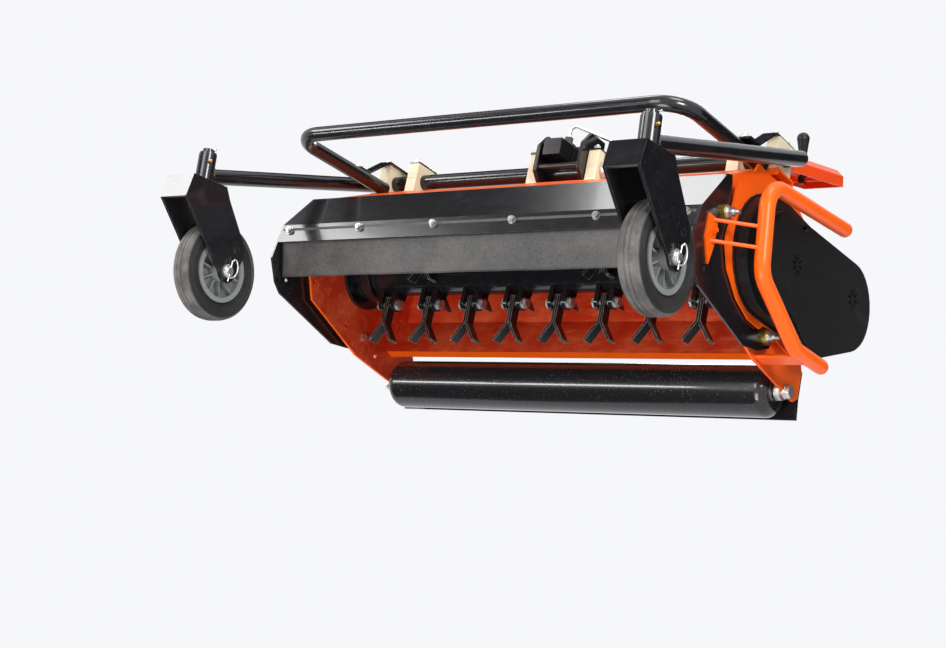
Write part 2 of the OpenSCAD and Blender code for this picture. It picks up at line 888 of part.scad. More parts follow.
// One set: two bars back to back that part below the bend
module blade_set(x, at, turn) {
    top = 14;
    leg = (blade_l - blade_bend) / cos(blade_splay);
    translate([x, at[0], at[1]]) rotate([turn, 0, 0])
        difference() {
            for (s = [-1, 1])
                mirrored(s)
                    rotate([90, 0, 0])
                        translate([0, 0, -blade_w / 2])
                            linear_extrude(blade_w)
                                folded([
                                    [0.15, top], [0.15, -blade_bend],
                                    [0.15 + leg * sin(blade_splay), -blade_bend - leg * cos(blade_splay)]
                                ], blade_t);
            rotate([0, 90, 0]) cylinder(d = bolt_d + 2 * run, h = 40, center = true);
        }
}

hanging = [1, 5];
park_turn = 101;

module blade_row(at, shift, turn, which) {
    color(black)
        for (i = which)
            if (i < stations)
                blade_set(station_x(i, shift), at, turn);
}

module front_blades() {
    blade_row(front_row, 0, 0, [0:stations - 1]);
}

module upper_blades() {
    blade_row(upper_row, 0, 0, hanging);
}

module parked_blades() {
    blade_row(upper_row, 0, park_turn, [for (i = [0:stations - 1]) if (len(search(i, hanging)) == 0) i]);
}

module rear_blades() {
    blade_row(rear_row, rear_shift, 0, [1:stations - 1]);
}

// Belt drive

case_in = deck_w / 2 + case_stand;
half_depth = case_depth / 2;
belt_x = case_in + half_depth - 2;
cover_loop = [[-34, rotor_h + 5, 84], [120, rotor_h - 40, 97], [drive_y, rotor_h + 10, 90]];
base_loop = [[-36, rotor_h + 4, 118], [112, rotor_h - 11, 100], [drive_y, rotor_h + 10, 96]];
back_edge = [
    [-168, 342], [-172, 296], [-172, 260], [-177, 240], [-175, 220], [-153, 179], [-103, 140],
    [-50, 120], [-2, 118], [12, 131], [56, 131], [70, 120], [130, 112],
    [drive_y, rotor_h - 92], [drive_y + 84, rotor_h - 44],
    [drive_y + 98, rotor_h + 10], [drive_y + 78, rotor_h + 76], [drive_y, rotor_h + 108],
    [120, 374], [46, 408], [-20, 408]
];

module belt_back() {
    color(orange) {
        along_x(case_wall, case_in - case_wall / 2)
            difference() {
                polygon(back_edge);
                translate(rotor_axis) circle(d = stub_d + 16);
                translate(drive_axis) circle(d = drive_shaft_d + 4);
            }
        along_x(case_stand - case_wall, deck_w / 2 + (case_stand - case_wall) / 2)
            difference() {
                translate(rotor_axis) ring(140, stub_d + 16);
                for (at = housing_bolts) translate(at) circle(d = 10.2);
            }
    }
}

module case_ring(loop, x, w, g) {
    along_x(w, x + w / 2)
        difference() {
            loop_outline(loop, g);
            loop_outline(loop, g - case_wall);
        }
}

module belt_case() {
    color(black) {
        along_x(4, case_in + 2)
            difference() {
                loop_outline(base_loop);
                loop_outline(base_loop, -4 - case_wall);
            }
        case_ring(base_loop, case_in + 4, half_depth - 10, -4);
        along_x(6, case_in + half_depth - 3)
            difference() {
                loop_outline(base_loop, -4);
                loop_outline(cover_loop, -case_wall);
            }
    }
}

vent_slots = 8;

module belt_cover() {
    color(black)
        difference() {
            union() {
                case_ring(cover_loop, case_in + half_depth, half_depth - case_wall, 0);
                along_x(case_wall, case_in + case_depth - case_wall / 2) loop_outline(cover_loop, -3);
                along_x(case_wall, case_in + case_depth - case_wall * 1.5) loop_outline(cover_loop, 0);
            }
            for (at = [rotor_axis, drive_axis])
                along_x(3 * case_wall, case_in + case_depth - case_wall)
                    translate(at)
                        for (i = [0:vent_slots - 1])
                            rotate(i * 360 / vent_slots) translate([8, -2]) square([13, 4]);
            along_x(case_depth, case_in + case_depth / 2 + half_depth + 6)
                translate([8, rotor_h + 92]) circle(r = 20);
        }
}

module grooved_pulley(d, bore, at) {
    r = d / 2;
    translate([belt_x, at[0], at[1]]) rotate([0, 90, 0])
        rotate_extrude($fn = 96)
            difference() {
                translate([bore / 2, -17]) square([r - bore / 2, 34]);
                for (s = [-1, 1])
                    polygon([
                        [r + 1, s * 8.5 - 5.4], [r - 8.3, s * 8.5 - 4.3], [r - 8.3, s * 8.5 + 4.3], [r + 1, s * 8.5 + 5.4]
                    ]);
            }
}

module rotor_pulley() {
    color([0.45, 0.46, 0.48]) grooved_pulley(rotor_pulley_d, stub_d, rotor_axis);
}

module belt_band(out) {
    loop_outline([
        [0, rotor_h, rotor_pulley_d / 2], [drive_axis[0], drive_axis[1], drive_pulley_d / 2]
    ], out);
}

module drive_belt() {
    color(rubber)
        for (s = [-1, 1])
            along_x(8, belt_x + s * 8.5)
                difference() {
                    belt_band(0.5);
                    belt_band(-8);
                }
}

module drive_shaft() {
    shaft_end = belt_x + 20;
    color([0.45, 0.46, 0.48]) {
        grooved_pulley(drive_pulley_d, drive_shaft_d, drive_axis);
        rod_x(drive_shaft_d, shaft_end - 40, drive_axis, (shaft_end + 40) / 2);
    }
}

// Guard tube round the belt case

guard_x = case_in + case_depth + guard_d / 2 - 4;
guard_points = [
    [150, 376], [-176, 335], [-150, 168], [20, 86], [134, 90]
];

module guard_tube() {
    color(orange) {
        bent_along_x(guard_x, guard_points, 48, guard_d);
        for (at = [guard_points[0], guard_points[4]])
            translate([guard_x, at[0], at[1]]) sphere(d = guard_d - 0.1);
    }
}

guard_seat = guard_x - 2;
strut_foot = [-227, 226];
foot_edge = [[-246, 252], [-212, 252], [-212, 202], [-222, 163], [-232, 178], [-246, 205]];

// Folded arm on the right side plate and two struts on the hood's side plate
module guard_mounts() {
    color(orange)
        difference() {
            union() {
                along_x(guard_seat - deck_w / 2, (guard_seat + deck_w / 2) / 2)
                    folded([[70, 92], [70, 72], [26, 72]], -4);
                along_x(4, hood_w / 2 + 2)
                    difference() {
                        polygon(foot_edge);
                        translate(strut_foot) circle(d = 8.2);
                    }
                for (dz = [-20, 20])
                    rod_between(
                        [hood_w / 2 + 2, strut_foot[0], strut_foot[1] + dz],
                        [guard_x, guard_points[1][0] + 12, strut_foot[1] + dz + 8], 7);
            }
            bent_along_x(guard_x, guard_points, 48, guard_d);
        }
    color(steel)
        translate([hood_w / 2 + 4, strut_foot[0], strut_foot[1]]) rotate([0, 90, 0]) stud_head(8);
}

// Gearbox, drive tube and coupling

flange_y = hitch_y - spigot_l;
box_y = [shell_r * cos(15), flange_y - 12];

module gearbox() {
    mid = (box_y[0] + box_y[1]) / 2;
    color([0.2, 0.2, 0.21])
        difference() {
            union() {
                translate([0, 0, drive_axis[1]]) {
                    translate([0, mid, 0]) cube([116, box_y[1] - box_y[0], 116], center = true);
                    translate([0, box_y[1] - 1, 0]) rotate([-90, 0, 0]) cylinder(d = 96, h = flange_y - box_y[1] - 9);
                    translate([0, flange_y - 10, 0]) rotate([-90, 0, 0]) cylinder(d = flange_pcd + 28, h = 10);
                    translate([0, flange_y, 0]) rotate([-90, 0, 0]) cylinder(d = spigot_d, h = spigot_l, $fn = 96);
                }
            }
            translate([0, box_y[0] + 20, drive_axis[1]]) rotate([-90, 0, 0])
                cylinder(d = input_bore, h = 400);
            rod_x(drive_shaft_d + 2 * run, 100, drive_axis, 80);
            for (a = [45:90:315])
                translate([polar(flange_pcd / 2, a)[0], flange_y - 11, drive_axis[1] + polar(flange_pcd / 2, a)[1]])
                    rotate([-90, 0, 0]) cylinder(d = flange_hole_d, h = 12);
        }
}

module drive_tube() {
    span = case_in - case_wall - 58;
    color(orange)
        difference() {
            rod_x(58, span, drive_axis, 58 + span / 2);
            rod_x(48, span + 2, drive_axis, 58 + span / 2);
        }
}

module input_shaft() {
    start = box_y[0] + 24;
    color(steel)
        translate([0, start, drive_axis[1]]) rotate([-90, 0, 0]) {
            cylinder(d = input_d + 2 * input_shoulder, h = hitch_y - start, $fn = 96);
            cylinder(d = input_d, h = hitch_y + input_l - start, $fn = 96);
        }
}

// Cover over the drive with the clutch lever

cover_mid = in_w / 2 - 46;
cover_foot = [62, 470];
cover_slope = 15.5;
cover_len = 250;
cover_t = 3;
lever_at = 150;
cover_profile = [[-44, 0], [-44, 22], [-30, 36], [30, 36], [44, 22], [44, 0]];

// Along the slope of the cover, y from its front edge and z from its rim
module on_cover() {
    translate([cover_mid, cover_foot[0], cover_foot[1]]) rotate([cover_slope, 0, 0]) children();
}

module along_cover(from, to) {
    rotate([90, 0, 0]) translate([0, 0, -to]) linear_extrude(to - from) children();
}

shell_facet = rotor_axis + polar(shell_r * cos(15), 60);

module drive_cover() {
    color([0.9, 0.2, 0.05]) {
        on_cover() {
            difference() {
                along_cover(0, cover_len) folded(cover_profile, cover_t * -1);
                translate([-9, lever_at - 34, 20]) cube([18, 68, 30]);
            }
            along_cover(cover_len - cover_t, cover_len) polygon(cover_profile);
            translate(lever_foot) rotate([0, 90, 0]) cylinder(d = 10, h = 2 * 44 - 1, center = true);
        }
        difference() {
            along_x(60, cover_mid)
                polygon([
                    shell_facet + 30 * [cos(150), sin(150)], shell_facet, [90, 476], [90, 506], [66, 506]
                ]);
            on_cover() translate([-100, -60, 36 - cover_t]) cube([200, 400, 60]);
            along_x(54, cover_mid) polygon([[60, 300], [74, 418], [74, 540], [200, 540], [200, 300]]);
        }
    }
}

lever_foot = [0, lever_at, 4];

module clutch_lever() {
    on_cover() translate(lever_foot) {
        color(steel) {
            difference() {
                rotate([0, 90, 0]) cylinder(d = 18, h = 12, center = true);
                rotate([0, 90, 0]) cylinder(d = 10 + 2 * run, h = 14, center = true);
            }
            translate([0, 0, 8]) cylinder(d = 10, h = 44);
        }
        color(black) translate([0, 0, 50]) {
            cylinder(d1 = 16, d2 = 26, h = 34);
            translate([0, 0, 34]) sphere(d = 26);
        }
    }
}

place() deck_shell();
place() side_plate(-1);  // side_plate_left
place() side_plate(1);  // side_plate_right
place() front_hood();
place() hood_side(-1);  // hood_side_left
place() hood_side(1);  // hood_side_right
place() rubber_flap();
place() flap_strip();
place() hood_bolts();
place() deck_bolts();
place() spacer_washers();
place() bearing_housing(-1);  // bearing_left
place() bearing_housing(1);  // bearing_right
place() roller_axles();
place() roller_scraper();
place() front_hoop();
place() bearing_blocks();
place() block_caps();
place() block_bolts();
place() block_channels();
place() lock_bracket();
place() lock_housing();
place() rod_boot();
place() belt_case();
place() belt_cover();
place() drive_belt();
place() guard_tube();
place() guard_mounts();
place() gearbox();
place() drive_tube();
place() drive_cover();
place() belt_back();
place() cross_tube();
place() arm(-1);  // arm_left
place() arm(1);  // arm_right
place() king_tube(-1);  // king_tube_left
place() king_tube(1);  // king_tube_right
place() grease_nipples();
place() rod_clevis();
place() feeler_rod();
place() fork(-1);  // fork_left
place() fork(1);  // fork_right
place() axle_pin(-1);  // axle_left
place() axle_pin(1);  // axle_right
place() tyre(-1);  // tyre_left
place() tyre(1);  // tyre_right
place() rim(-1);  // rim_left
place() rim(1);  // rim_right
place() rotor_tube();
place() rotor_lugs();
place() blade_bolts();
place() rotor_pulley();
place() front_blades();
place() upper_blades();
place() parked_blades();
place() rear_blades();
place() roller();
place() drive_shaft();
place() input_shaft();
place() clutch_lever();
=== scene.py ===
"""Looks of a front mulcher: paint, plastic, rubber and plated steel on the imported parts,
with the soft flap, the weld beads and the wire clips as new pieces."""

import json
import math

import bmesh
import bpy
from mathutils import Matrix, Vector


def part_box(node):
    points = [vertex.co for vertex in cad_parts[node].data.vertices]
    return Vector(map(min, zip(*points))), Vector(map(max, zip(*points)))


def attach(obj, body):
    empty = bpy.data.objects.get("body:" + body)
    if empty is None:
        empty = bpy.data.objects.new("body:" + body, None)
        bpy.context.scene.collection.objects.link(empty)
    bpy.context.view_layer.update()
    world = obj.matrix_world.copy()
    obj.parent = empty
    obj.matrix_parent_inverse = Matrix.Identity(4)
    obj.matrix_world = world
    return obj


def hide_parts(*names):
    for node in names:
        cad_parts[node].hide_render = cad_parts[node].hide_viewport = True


bl_info = {
    "name": "Front mulcher looks",
    "version": (1, 0, 0),
    "blender": (4, 5, 0),
    "location": "View3D > Sidebar > Mulcher",
    "description": "Finishes, flap, weld beads, clips and a small studio",
    "category": "Object",
}

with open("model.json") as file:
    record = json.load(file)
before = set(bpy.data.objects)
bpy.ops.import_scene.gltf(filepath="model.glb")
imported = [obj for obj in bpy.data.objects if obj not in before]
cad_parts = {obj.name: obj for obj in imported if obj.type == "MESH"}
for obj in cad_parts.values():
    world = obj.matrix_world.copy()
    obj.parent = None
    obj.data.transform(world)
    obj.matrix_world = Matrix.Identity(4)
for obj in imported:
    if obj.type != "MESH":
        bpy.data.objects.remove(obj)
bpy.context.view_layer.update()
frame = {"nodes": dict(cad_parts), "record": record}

# Metres from the rotor axis and the ground to the row's origin
COUPLING_Y = 0.384
COUPLING_Z = 0.270

# Positions on the CAD parts, rounded, in millimetres from the rotor axis and the ground
ROTOR_Z = 245
CASTOR_X = 517
WHEEL_AXIS = (-412, 100)
ARM_FRONT = (-502, 270)
CROSS_TUBE = (14, 471)
KING_FOOT = (-500, 257)
KING_LEAN = 5.8
HOOP_FOOT = (466, -26.5, 441.5)

# Colour of the surroundings
BACKDROP = (0.925, 0.93, 0.955)

# Sides of the drawn bars, and the ripple of a weld bead as a share of its radius
BAR_SIDES = 8
BEAD_RIPPLE = 0.12


def place(x, y, z):
    """A point given in millimetres from the rotor axis and the ground, in the row frame."""
    return Vector((x / 1000, y / 1000 - COUPLING_Y, z / 1000 - COUPLING_Z))


# Shader sums


class Val:
    """A number or a shader output that takes part in sums."""

    def __init__(self, tree, link):
        self.tree = tree
        self.link = link

    def node(self, kind, inputs=(), output=0, **settings):
        """The output of a new node, with its settings made before its sockets are fed."""
        made = self.tree.nodes.new(kind)
        for key, value in settings.items():
            setattr(made, key, value)
        for key, value in dict(inputs).items():
            feed(self.tree, made.inputs[key], value)
        return Val(self.tree, made.outputs[output])

    def math(self, operation, *values):
        """One Math node on the values."""
        return self.node("ShaderNodeMath", enumerate(values), operation=operation)

    def __add__(self, other):
        return self.math("ADD", self, other)

    def __radd__(self, other):
        return self.math("ADD", other, self)

    def __sub__(self, other):
        return self.math("SUBTRACT", self, other)

    def __rsub__(self, other):
        return self.math("SUBTRACT", other, self)

    def __mul__(self, other):
        return self.math("MULTIPLY", self, other)

    def __rmul__(self, other):
        return self.math("MULTIPLY", other, self)

    def __truediv__(self, other):
        return self.math("DIVIDE", self, other)

    def __pow__(self, other):
        return self.math("POWER", self, other)

    def __abs__(self):
        return self.math("ABSOLUTE", self)

    def sign(self):
        return self.math("SIGN", self)

    def sine(self):
        return self.math("SINE", self)

    def least(self, other):
        return self.math("MINIMUM", self, other)

    def most(self, other):
        return self.math("MAXIMUM", self, other)

    def step(self, low, high):
        """0 below low, 1 above high and smooth between."""
        return self.node(
            "ShaderNodeMapRange",
            {"Value": self, "From Min": low, "From Max": high},
            interpolation_type="SMOOTHSTEP",
        )

    def part(self, axis):
        """The X, Y or Z of a vector."""
        return self.node("ShaderNodeSeparateXYZ", {"Vector": self}, output=axis)

    def noise(self, scale, detail=4.0, rough=0.55, stretch=(1, 1, 1)):
        """Cloudy noise from 0 to 1, with scale in clouds per metre."""
        spread = self.node("ShaderNodeVectorMath", {0: self, 1: stretch}, operation="MULTIPLY")
        return self.node(
            "ShaderNodeTexNoise",
            {"Vector": spread, "Scale": scale, "Detail": detail, "Roughness": rough},
        )

    def specks(self, scale, size):
        """Small round flecks, 1 inside each one."""
        cell = self.node("ShaderNodeTexVoronoi", {"Vector": self, "Scale": scale}, output="Distance")
        return 1.0 - cell.step(size * 0.5, size)

    def mix(self, a, b):
        """a where this is 0 and b where it is 1, as colours."""
        inputs = {"Factor": self, "A": a, "B": b}
        return self.node("ShaderNodeMix", inputs, output="Result", data_type="RGBA")

    def blend(self, a, b):
        """a where this is 0 and b where it is 1, as shaders."""
        return self.node("ShaderNodeMixShader", {0: self, 1: a, 2: b})


def feed(tree, socket, value):
    """Link a value to a socket, or write a plain number or colour on it."""
    if isinstance(value, Val):
        tree.links.new(value.link, socket)
    elif isinstance(value, (tuple, list)):
        missing_alpha = len(socket.default_value) == 4 and len(value) == 3
        socket.default_value = (*value, 1.0) if missing_alpha else value
    else:
        socket.default_value = value


class Finish:
    """One procedural material on object coordinates, in metres from the row's origin."""

    def __init__(self, name):
        self.mat = bpy.data.materials.new(name)
        self.mat.use_nodes = True
        self.tree = self.mat.node_tree
        self.shader = self.tree.nodes["Principled BSDF"]
        coords = self.tree.nodes.new("ShaderNodeTexCoord")
        self.at = Val(self.tree, coords.outputs["Object"])
        self.normal = Val(self.tree, coords.outputs["Normal"])
        self.shading = self.at.node("ShaderNodeNewGeometry", output="Normal")
        self.x = self.at.part("X")
        self.y = self.at.part("Y")
        self.z = self.at.part("Z")

    def out_from(self, y, z):
        """Distance from the line along X through y and z, given in millimetres like place()."""
        middle = place(0, y, z)
        return ((self.y - middle.y) ** 2.0 + (self.z - middle.z) ** 2.0) ** 0.5

    def edges(self, width):
        """1 along sharp edges, within about width metres of them."""
        soft = self.at.node("ShaderNodeBevel", {"Radius": width}, samples=6)
        pair = {0: soft, 1: self.shading}
        same = self.at.node("ShaderNodeVectorMath", pair, output="Value", operation="DOT_PRODUCT")
        return 1.0 - same.step(0.80, 0.985)

    def set(self, **values):
        """Feed the Principled shader's sockets, named with _ for each space."""
        for key, value in values.items():
            feed(self.tree, self.shader.inputs[key.replace("_", " ")], value)
        return self

    def bump(self, height, distance, strength=1.0):
        """Raise the surface by height times distance, in metres."""
        inputs = {"Height": height, "Distance": distance, "Strength": strength}
        return self.set(Normal=self.at.node("ShaderNodeBump", inputs, output="Normal"))


def seen_directly(tree):
    """1 for rays from the camera and for those mirrored or let through, which see the backdrop."""
    rays = tree.nodes.new("ShaderNodeLightPath")
    camera, glossy, through = (
        Val(tree, rays.outputs[kind])
        for kind in ("Is Camera Ray", "Is Glossy Ray", "Is Transmission Ray")
    )
    return camera.most(glossy).most(through)


def shade(colour, factor):
    """A colour made darker or lighter by a factor."""
    return tuple(c * factor for c in colour)


def dusty(f, amount):
    """Dust that lies on faces that look up and gathers in patches."""
    up = f.normal.part("Z").step(-0.2, 0.9)
    patches = f.at.noise(48.0, detail=8.0, rough=0.75).step(0.45, 0.8)
    return (up * 0.5 + 0.5) * patches * amount


def painted(name, colour, rough, dust, wear=0.0, rim=0.0, rim_width=0.0006, gloss=0.5):
    """Glossy enamel with slight orange peel, dust, worn flecks, and bright edges of wear and painted
    highlight.
    """
    dry_dust = (0.42, 0.36, 0.28)
    worn_fleck = (0.5, 0.47, 0.42)
    rubbed_steel_and_highlight = (0.62, 0.6, 0.56)
    peel_height = 0.00006
    f = Finish(name)
    tint = f.at.noise(3.0, detail=2.0, rough=0.5)
    base = tint.mix(shade(colour, 0.93), shade(colour, 1.05))
    film = dusty(f, dust)
    base = film.mix(base, dry_dust)
    if wear:
        flecks = f.at.specks(150.0, 0.16) * f.at.noise(14.0).step(0.48, 0.62) * wear
        base = flecks.mix(base, worn_fleck)
        film = film + flecks * 0.5
    # Sharp edges painted pale steel grey: partly rubbed-through paint, partly a painted highlight
    # along the edges
    if rim:
        broken = f.at.noise(55.0, detail=4.0, rough=0.7).step(0.3, 0.6) * 0.6 + 0.4
        base = (f.edges(rim_width) * broken * rim).mix(base, rubbed_steel_and_highlight)
    f.set(
        Base_Color=base,
        Roughness=film * 0.5 + rough + f.at.noise(26.0, detail=5.0, rough=0.7) * 0.08,
        Specular_IOR_Level=gloss,
        Coat_Weight=gloss * 0.5,
        Coat_Roughness=0.06,
    )
    return f.bump(f.at.noise(420.0, detail=2.0, rough=0.5), peel_height)


def deck_orange(name, colour):
    """Outside bright, and inside the deck darker, partly as painted shade of the hollow, with a film
    of dust and scuffs.
    """
    shell_radius = 0.3
    shell_half_width = 0.4835
    stained_and_shaded = (0.62, 0.03, 0.004)
    scuffed = (1.0, 0.19, 0.07)
    grit_tan = (0.9, 0.42, 0.24)
    peel_height = 0.00007
    f = Finish(name)
    rotor = place(0, 0, ROTOR_Z)
    radius = f.out_from(0, ROTOR_Z)
    outward = f.normal.part("Y") * (f.y - rotor.y) + f.normal.part("Z") * (f.z - rotor.z)
    inward = 0.0 - outward / radius
    across = 0.0 - f.normal.part("X") * f.x.sign()
    within_shell = 1.0 - radius.step(shell_radius, shell_radius + 0.01)
    between_ends = 1.0 - abs(f.x).step(shell_half_width, shell_half_width + 0.001)
    facing = inward.step(-0.4, 0.1) + across.step(0.5, 0.8)
    inside = within_shell * between_ends * facing.least(1.0)
    stain = f.at.noise(8.0, detail=8.0, rough=0.72).step(0.38, 0.66)
    scuff = f.at.noise(60.0, detail=5.0, rough=0.7, stretch=(0.25, 1, 1)).step(0.5, 0.72)
    tint = f.at.noise(3.0, detail=2.0, rough=0.5)
    clean = tint.mix(shade(colour, 0.95), shade(colour, 1.04))
    # Darker red inside the deck: stains and scuffs, and painted shade of the hollow
    dirty_and_shaded = (stain * 0.55 + scuff * 0.45).mix(stained_and_shaded, scuffed)
    grit = f.at.specks(170.0, 0.15) * f.at.noise(11.0).step(0.42, 0.6)
    f.set(
        Base_Color=inside.mix(clean, (grit * 0.5).mix(dirty_and_shaded, grit_tan)),
        Roughness=inside * 0.16 + 0.3 + f.at.noise(30.0, detail=5.0, rough=0.7) * 0.1,
        Specular_IOR_Level=0.3,
        Coat_Weight=0.08,
        Coat_Roughness=0.15,
    )
    return f.bump(f.at.noise(380.0, detail=2.0, rough=0.5), peel_height)


def plated(name, colour, rough, metallic=1.0):
    """Plated or turned metal, clouded and slightly grained."""
    grain_height = 0.00003
    f = Finish(name)
    grain = f.at.noise(90.0, detail=5.0, rough=0.7)
    f.set(
        Base_Color=grain.mix(shade(colour, 0.75), colour),
        Roughness=grain * 0.22 + rough,
        Metallic=metallic,
    )
    return f.bump(f.at.noise(700.0, detail=3.0, rough=0.6), grain_height)


def plastic(name, colour, rough, scratch=0.0):
    """Moulded plastic with a fine grain, some dust and drawn-out scratches."""
    scratched = (0.12, 0.1, 0.08)
    dusted = (0.35, 0.3, 0.24)
    grain_height = 0.00008
    f = Finish(name)
    base = f.at.noise(5.0).mix(shade(colour, 0.85), shade(colour, 1.1))
    if scratch:
        drawn_out = (1, 0.12, 0.6)
        lines = f.at.noise(70.0, detail=3.0, rough=0.6, stretch=drawn_out).step(0.6, 0.68)
        base = (lines * scratch).mix(base, scratched)
    film = dusty(f, 0.12)
    f.set(
        Base_Color=(film * 0.4).mix(base, dusted),
        Roughness=film * 0.3 + rough,
        Specular_IOR_Level=0.25,
    )
    return f.bump(f.at.noise(650.0, detail=3.0, rough=0.6), grain_height)


def rubbery(name, colour, dust_colour, dust, rough=0.62):
    """Dull rubber under streaks, specks and patches of dust."""
    grain_height = 0.00012
    f = Finish(name)
    streak = f.at.noise(18.0, detail=6.0, rough=0.7, stretch=(0.35, 1, 1)).step(0.3, 0.75)
    specks = f.at.specks(240.0, 0.14) * 0.5
    grain = f.at.noise(230.0, detail=5.0, rough=0.85).step(0.38, 0.62)
    patch = f.at.noise(11.0, detail=6.0, rough=0.75).step(0.4, 0.62)
    film = (streak * 0.35 + specks + grain * 0.6 + patch * 0.35) * dust
    f.set(Base_Color=film.mix(colour, dust_colour), Roughness=film * 0.15 + rough)
    return f.bump(f.at.noise(520.0, detail=4.0, rough=0.65), grain_height)


def tyre_rubber(name):
    """A dusty ribbed tread and a darker sidewall with fine rings, about the wheel axis."""
    rubber = (0.01, 0.01, 0.01)
    road_dust = (0.24, 0.225, 0.21)
    wall_radius = 0.0925
    tread_radius = 0.096
    rings_per_metre = 2300.0
    ribs_per_metre = 760.0
    relief = 0.0006
    f = Finish(name)
    radius = f.out_from(*WHEEL_AXIS)
    tread = radius.step(wall_radius, tread_radius)
    dust = f.at.noise(22.0, detail=6.0, rough=0.7).step(0.3, 0.7)
    rings = (radius * rings_per_metre).sine()
    ribs = (abs(f.x) * ribs_per_metre).sine()
    film = tread * (dust * 0.4 + 0.2) + (1.0 - tread) * (dust * 0.04)
    f.set(
        Base_Color=film.mix(rubber, road_dust),
        Roughness=film * 0.2 + 0.5,
        Specular_IOR_Level=0.3,
    )
    return f.bump((1.0 - tread) * rings + tread * ribs, relief, 0.7)


def roller_black(name):
    """Hard black lacquer with specks of soil and long chips."""
    lacquer = (0.012, 0.012, 0.014)
    soil = (0.33, 0.28, 0.22)
    grain_height = 0.00008
    f = Finish(name)
    specks = f.at.specks(170.0, 0.17) * f.at.noise(7.0).step(0.4, 0.65)
    chips = f.at.noise(45.0, detail=6.0, rough=0.75, stretch=(0.5, 1, 1)).step(0.66, 0.72) * 0.5
    film = specks * 0.75 + chips * 0.5
    f.set(
        Base_Color=film.mix(lacquer, soil),
        Roughness=film * 0.4 + 0.24,
        Specular_IOR_Level=0.3,
        Coat_Weight=0.6,
        Coat_Roughness=0.07,
    )
    return f.bump(f.at.noise(300.0, detail=3.0, rough=0.6), grain_height)


# Meshes


def add_object(name, bm, material, body):
    """A new piece from a bmesh, moving with a body."""
    bmesh.ops.recalc_face_normals(bm, faces=bm.faces)
    for face in bm.faces:
        face.smooth = True
    made = link_mesh(name, bm, material)
    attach(made, body)
    return made


def link_mesh(name, bm, material):
    """An object at the origin from a bmesh, which is freed."""
    mesh = bpy.data.meshes.new(name)
    bm.to_mesh(mesh)
    bm.free()
    mesh.materials.append(material)
    made = bpy.data.objects.new(name, mesh)
    bpy.context.scene.collection.objects.link(made)
    return made


def frames_along(points, closed):
    """A tangent and two normals at each point, carried along without twist."""
    count = len(points)
    tangents = []
    for i in range(count):
        if closed:
            step = points[(i + 1) % count] - points[i - 1]
        else:
            step = points[min(i + 1, count - 1)] - points[max(i - 1, 0)]
        tangents.append(step.normalized())
    side = tangents[0].orthogonal().normalized()
    found = []
    for tangent in tangents:
        side = (side - tangent * side.dot(tangent)).normalized()
        found.append((tangent, side, tangent.cross(side)))
    return found


def bar(bm, points, radius, closed=False, ripple=0.0):
    """A circle drawn out along points, with an optional ripple such as a weld bead has."""
    made = bmesh.ops.create_circle(bm, cap_ends=False, radius=1.0, segments=BAR_SIDES)
    verts = made["verts"]
    edges = list({edge for vert in verts for edge in vert.link_edges})
    first = list(edges)
    before = Matrix.Identity(4)
    for i, (point, (along, u, v)) in enumerate(zip(points, frames_along(points, closed))):
        r = radius * (1 + ripple * math.sin(i * 2.1) + 0.5 * ripple * math.sin(i * 5.3))
        here = Matrix.Translation(point) @ (Matrix((u, v, along)).transposed() * r).to_4x4()
        if i:
            drawn = bmesh.ops.extrude_edge_only(bm, edges=edges)["geom"]
            verts = [item for item in drawn if isinstance(item, bmesh.types.BMVert)]
            ring = set(verts)
            edges = [
                item
                for item in drawn
                if isinstance(item, bmesh.types.BMEdge) and ring.issuperset(item.verts)
            ]
        bmesh.ops.transform(bm, matrix=here @ before.inverted(), verts=verts)
        before = here
    if closed:
        bmesh.ops.bridge_loops(bm, edges=first + edges)
    else:
        bmesh.ops.holes_fill(bm, edges=first + edges, sides=BAR_SIDES)


def circle_points(centre, axis, radius, count):
    """Points round a circle that looks along an axis."""
    axis = Vector(axis).normalized()
    u = axis.orthogonal().normalized()
    v = axis.cross(u)
    turns = [2 * math.pi * i / count for i in range(count)]
    return [centre + u * (radius * math.cos(a)) + v * (radius * math.sin(a)) for a in turns]


def smooth_path(points, steps):
    """A Catmull-Rom line through points, with steps pieces between each two."""
    found = []
    for i in range(len(points) - 1):
        p0 = points[max(i - 1, 0)]
        p1, p2 = points[i], points[i + 1]
        p3 = points[min(i + 2, len(points) - 1)]
        for k in range(steps):
            t = k / steps
            square = (2 * p0 - 5 * p1 + 4 * p2 - p3) * t * t
            cube = (3 * p1 - p0 - 3 * p2 + p3) * t ** 3
            found.append(0.5 * (2 * p1 + (p2 - p0) * t + square + cube))
    found.append(points[-1])
    return found


class MulcherColours(bpy.types.PropertyGroup):
    orange: bpy.props.FloatVectorProperty(
        name="Orange",
        description="Paint of the deck",
        subtype="COLOR",
        size=3,
        default=(1.0, 0.13, 0.004),
        min=0,
        max=1,
    )
    red: bpy.props.FloatVectorProperty(
        name="Cover",
        description="Paint of the drive cover",
        subtype="COLOR",
        size=3,
        default=(0.95, 0.075, 0.005),
        min=0,
        max=1,
    )
    black: bpy.props.FloatVectorProperty(
        name="Black",
        description="Paint of the hood and the tubes",
        subtype="COLOR",
        size=3,
        default=(0.008, 0.008, 0.01),
        min=0,
        max=1,
    )
    dust: bpy.props.FloatProperty(
        name="Dust",
        description="Share of the black paint under dust",
        subtype="FACTOR",
        default=0.05,
        min=0,
        max=1,
    )


class MulcherSizes(bpy.types.PropertyGroup):
    flap_wave: bpy.props.FloatProperty(
        name="Flap wave",
        description="How far the rubber flap waves in and out",
        default=0.0012,
        min=0,
        max=0.004,
        unit="LENGTH",
    )
    bead: bpy.props.FloatProperty(
        name="Weld bead",
        description="Radius of the weld beads",
        default=0.0024,
        min=0.001,
        max=0.004,
        unit="LENGTH",
    )
    wire: bpy.props.FloatProperty(
        name="Clip wire",
        description="Diameter of the wire clips",
        default=0.0032,
        min=0.002,
        max=0.005,
        unit="LENGTH",
    )


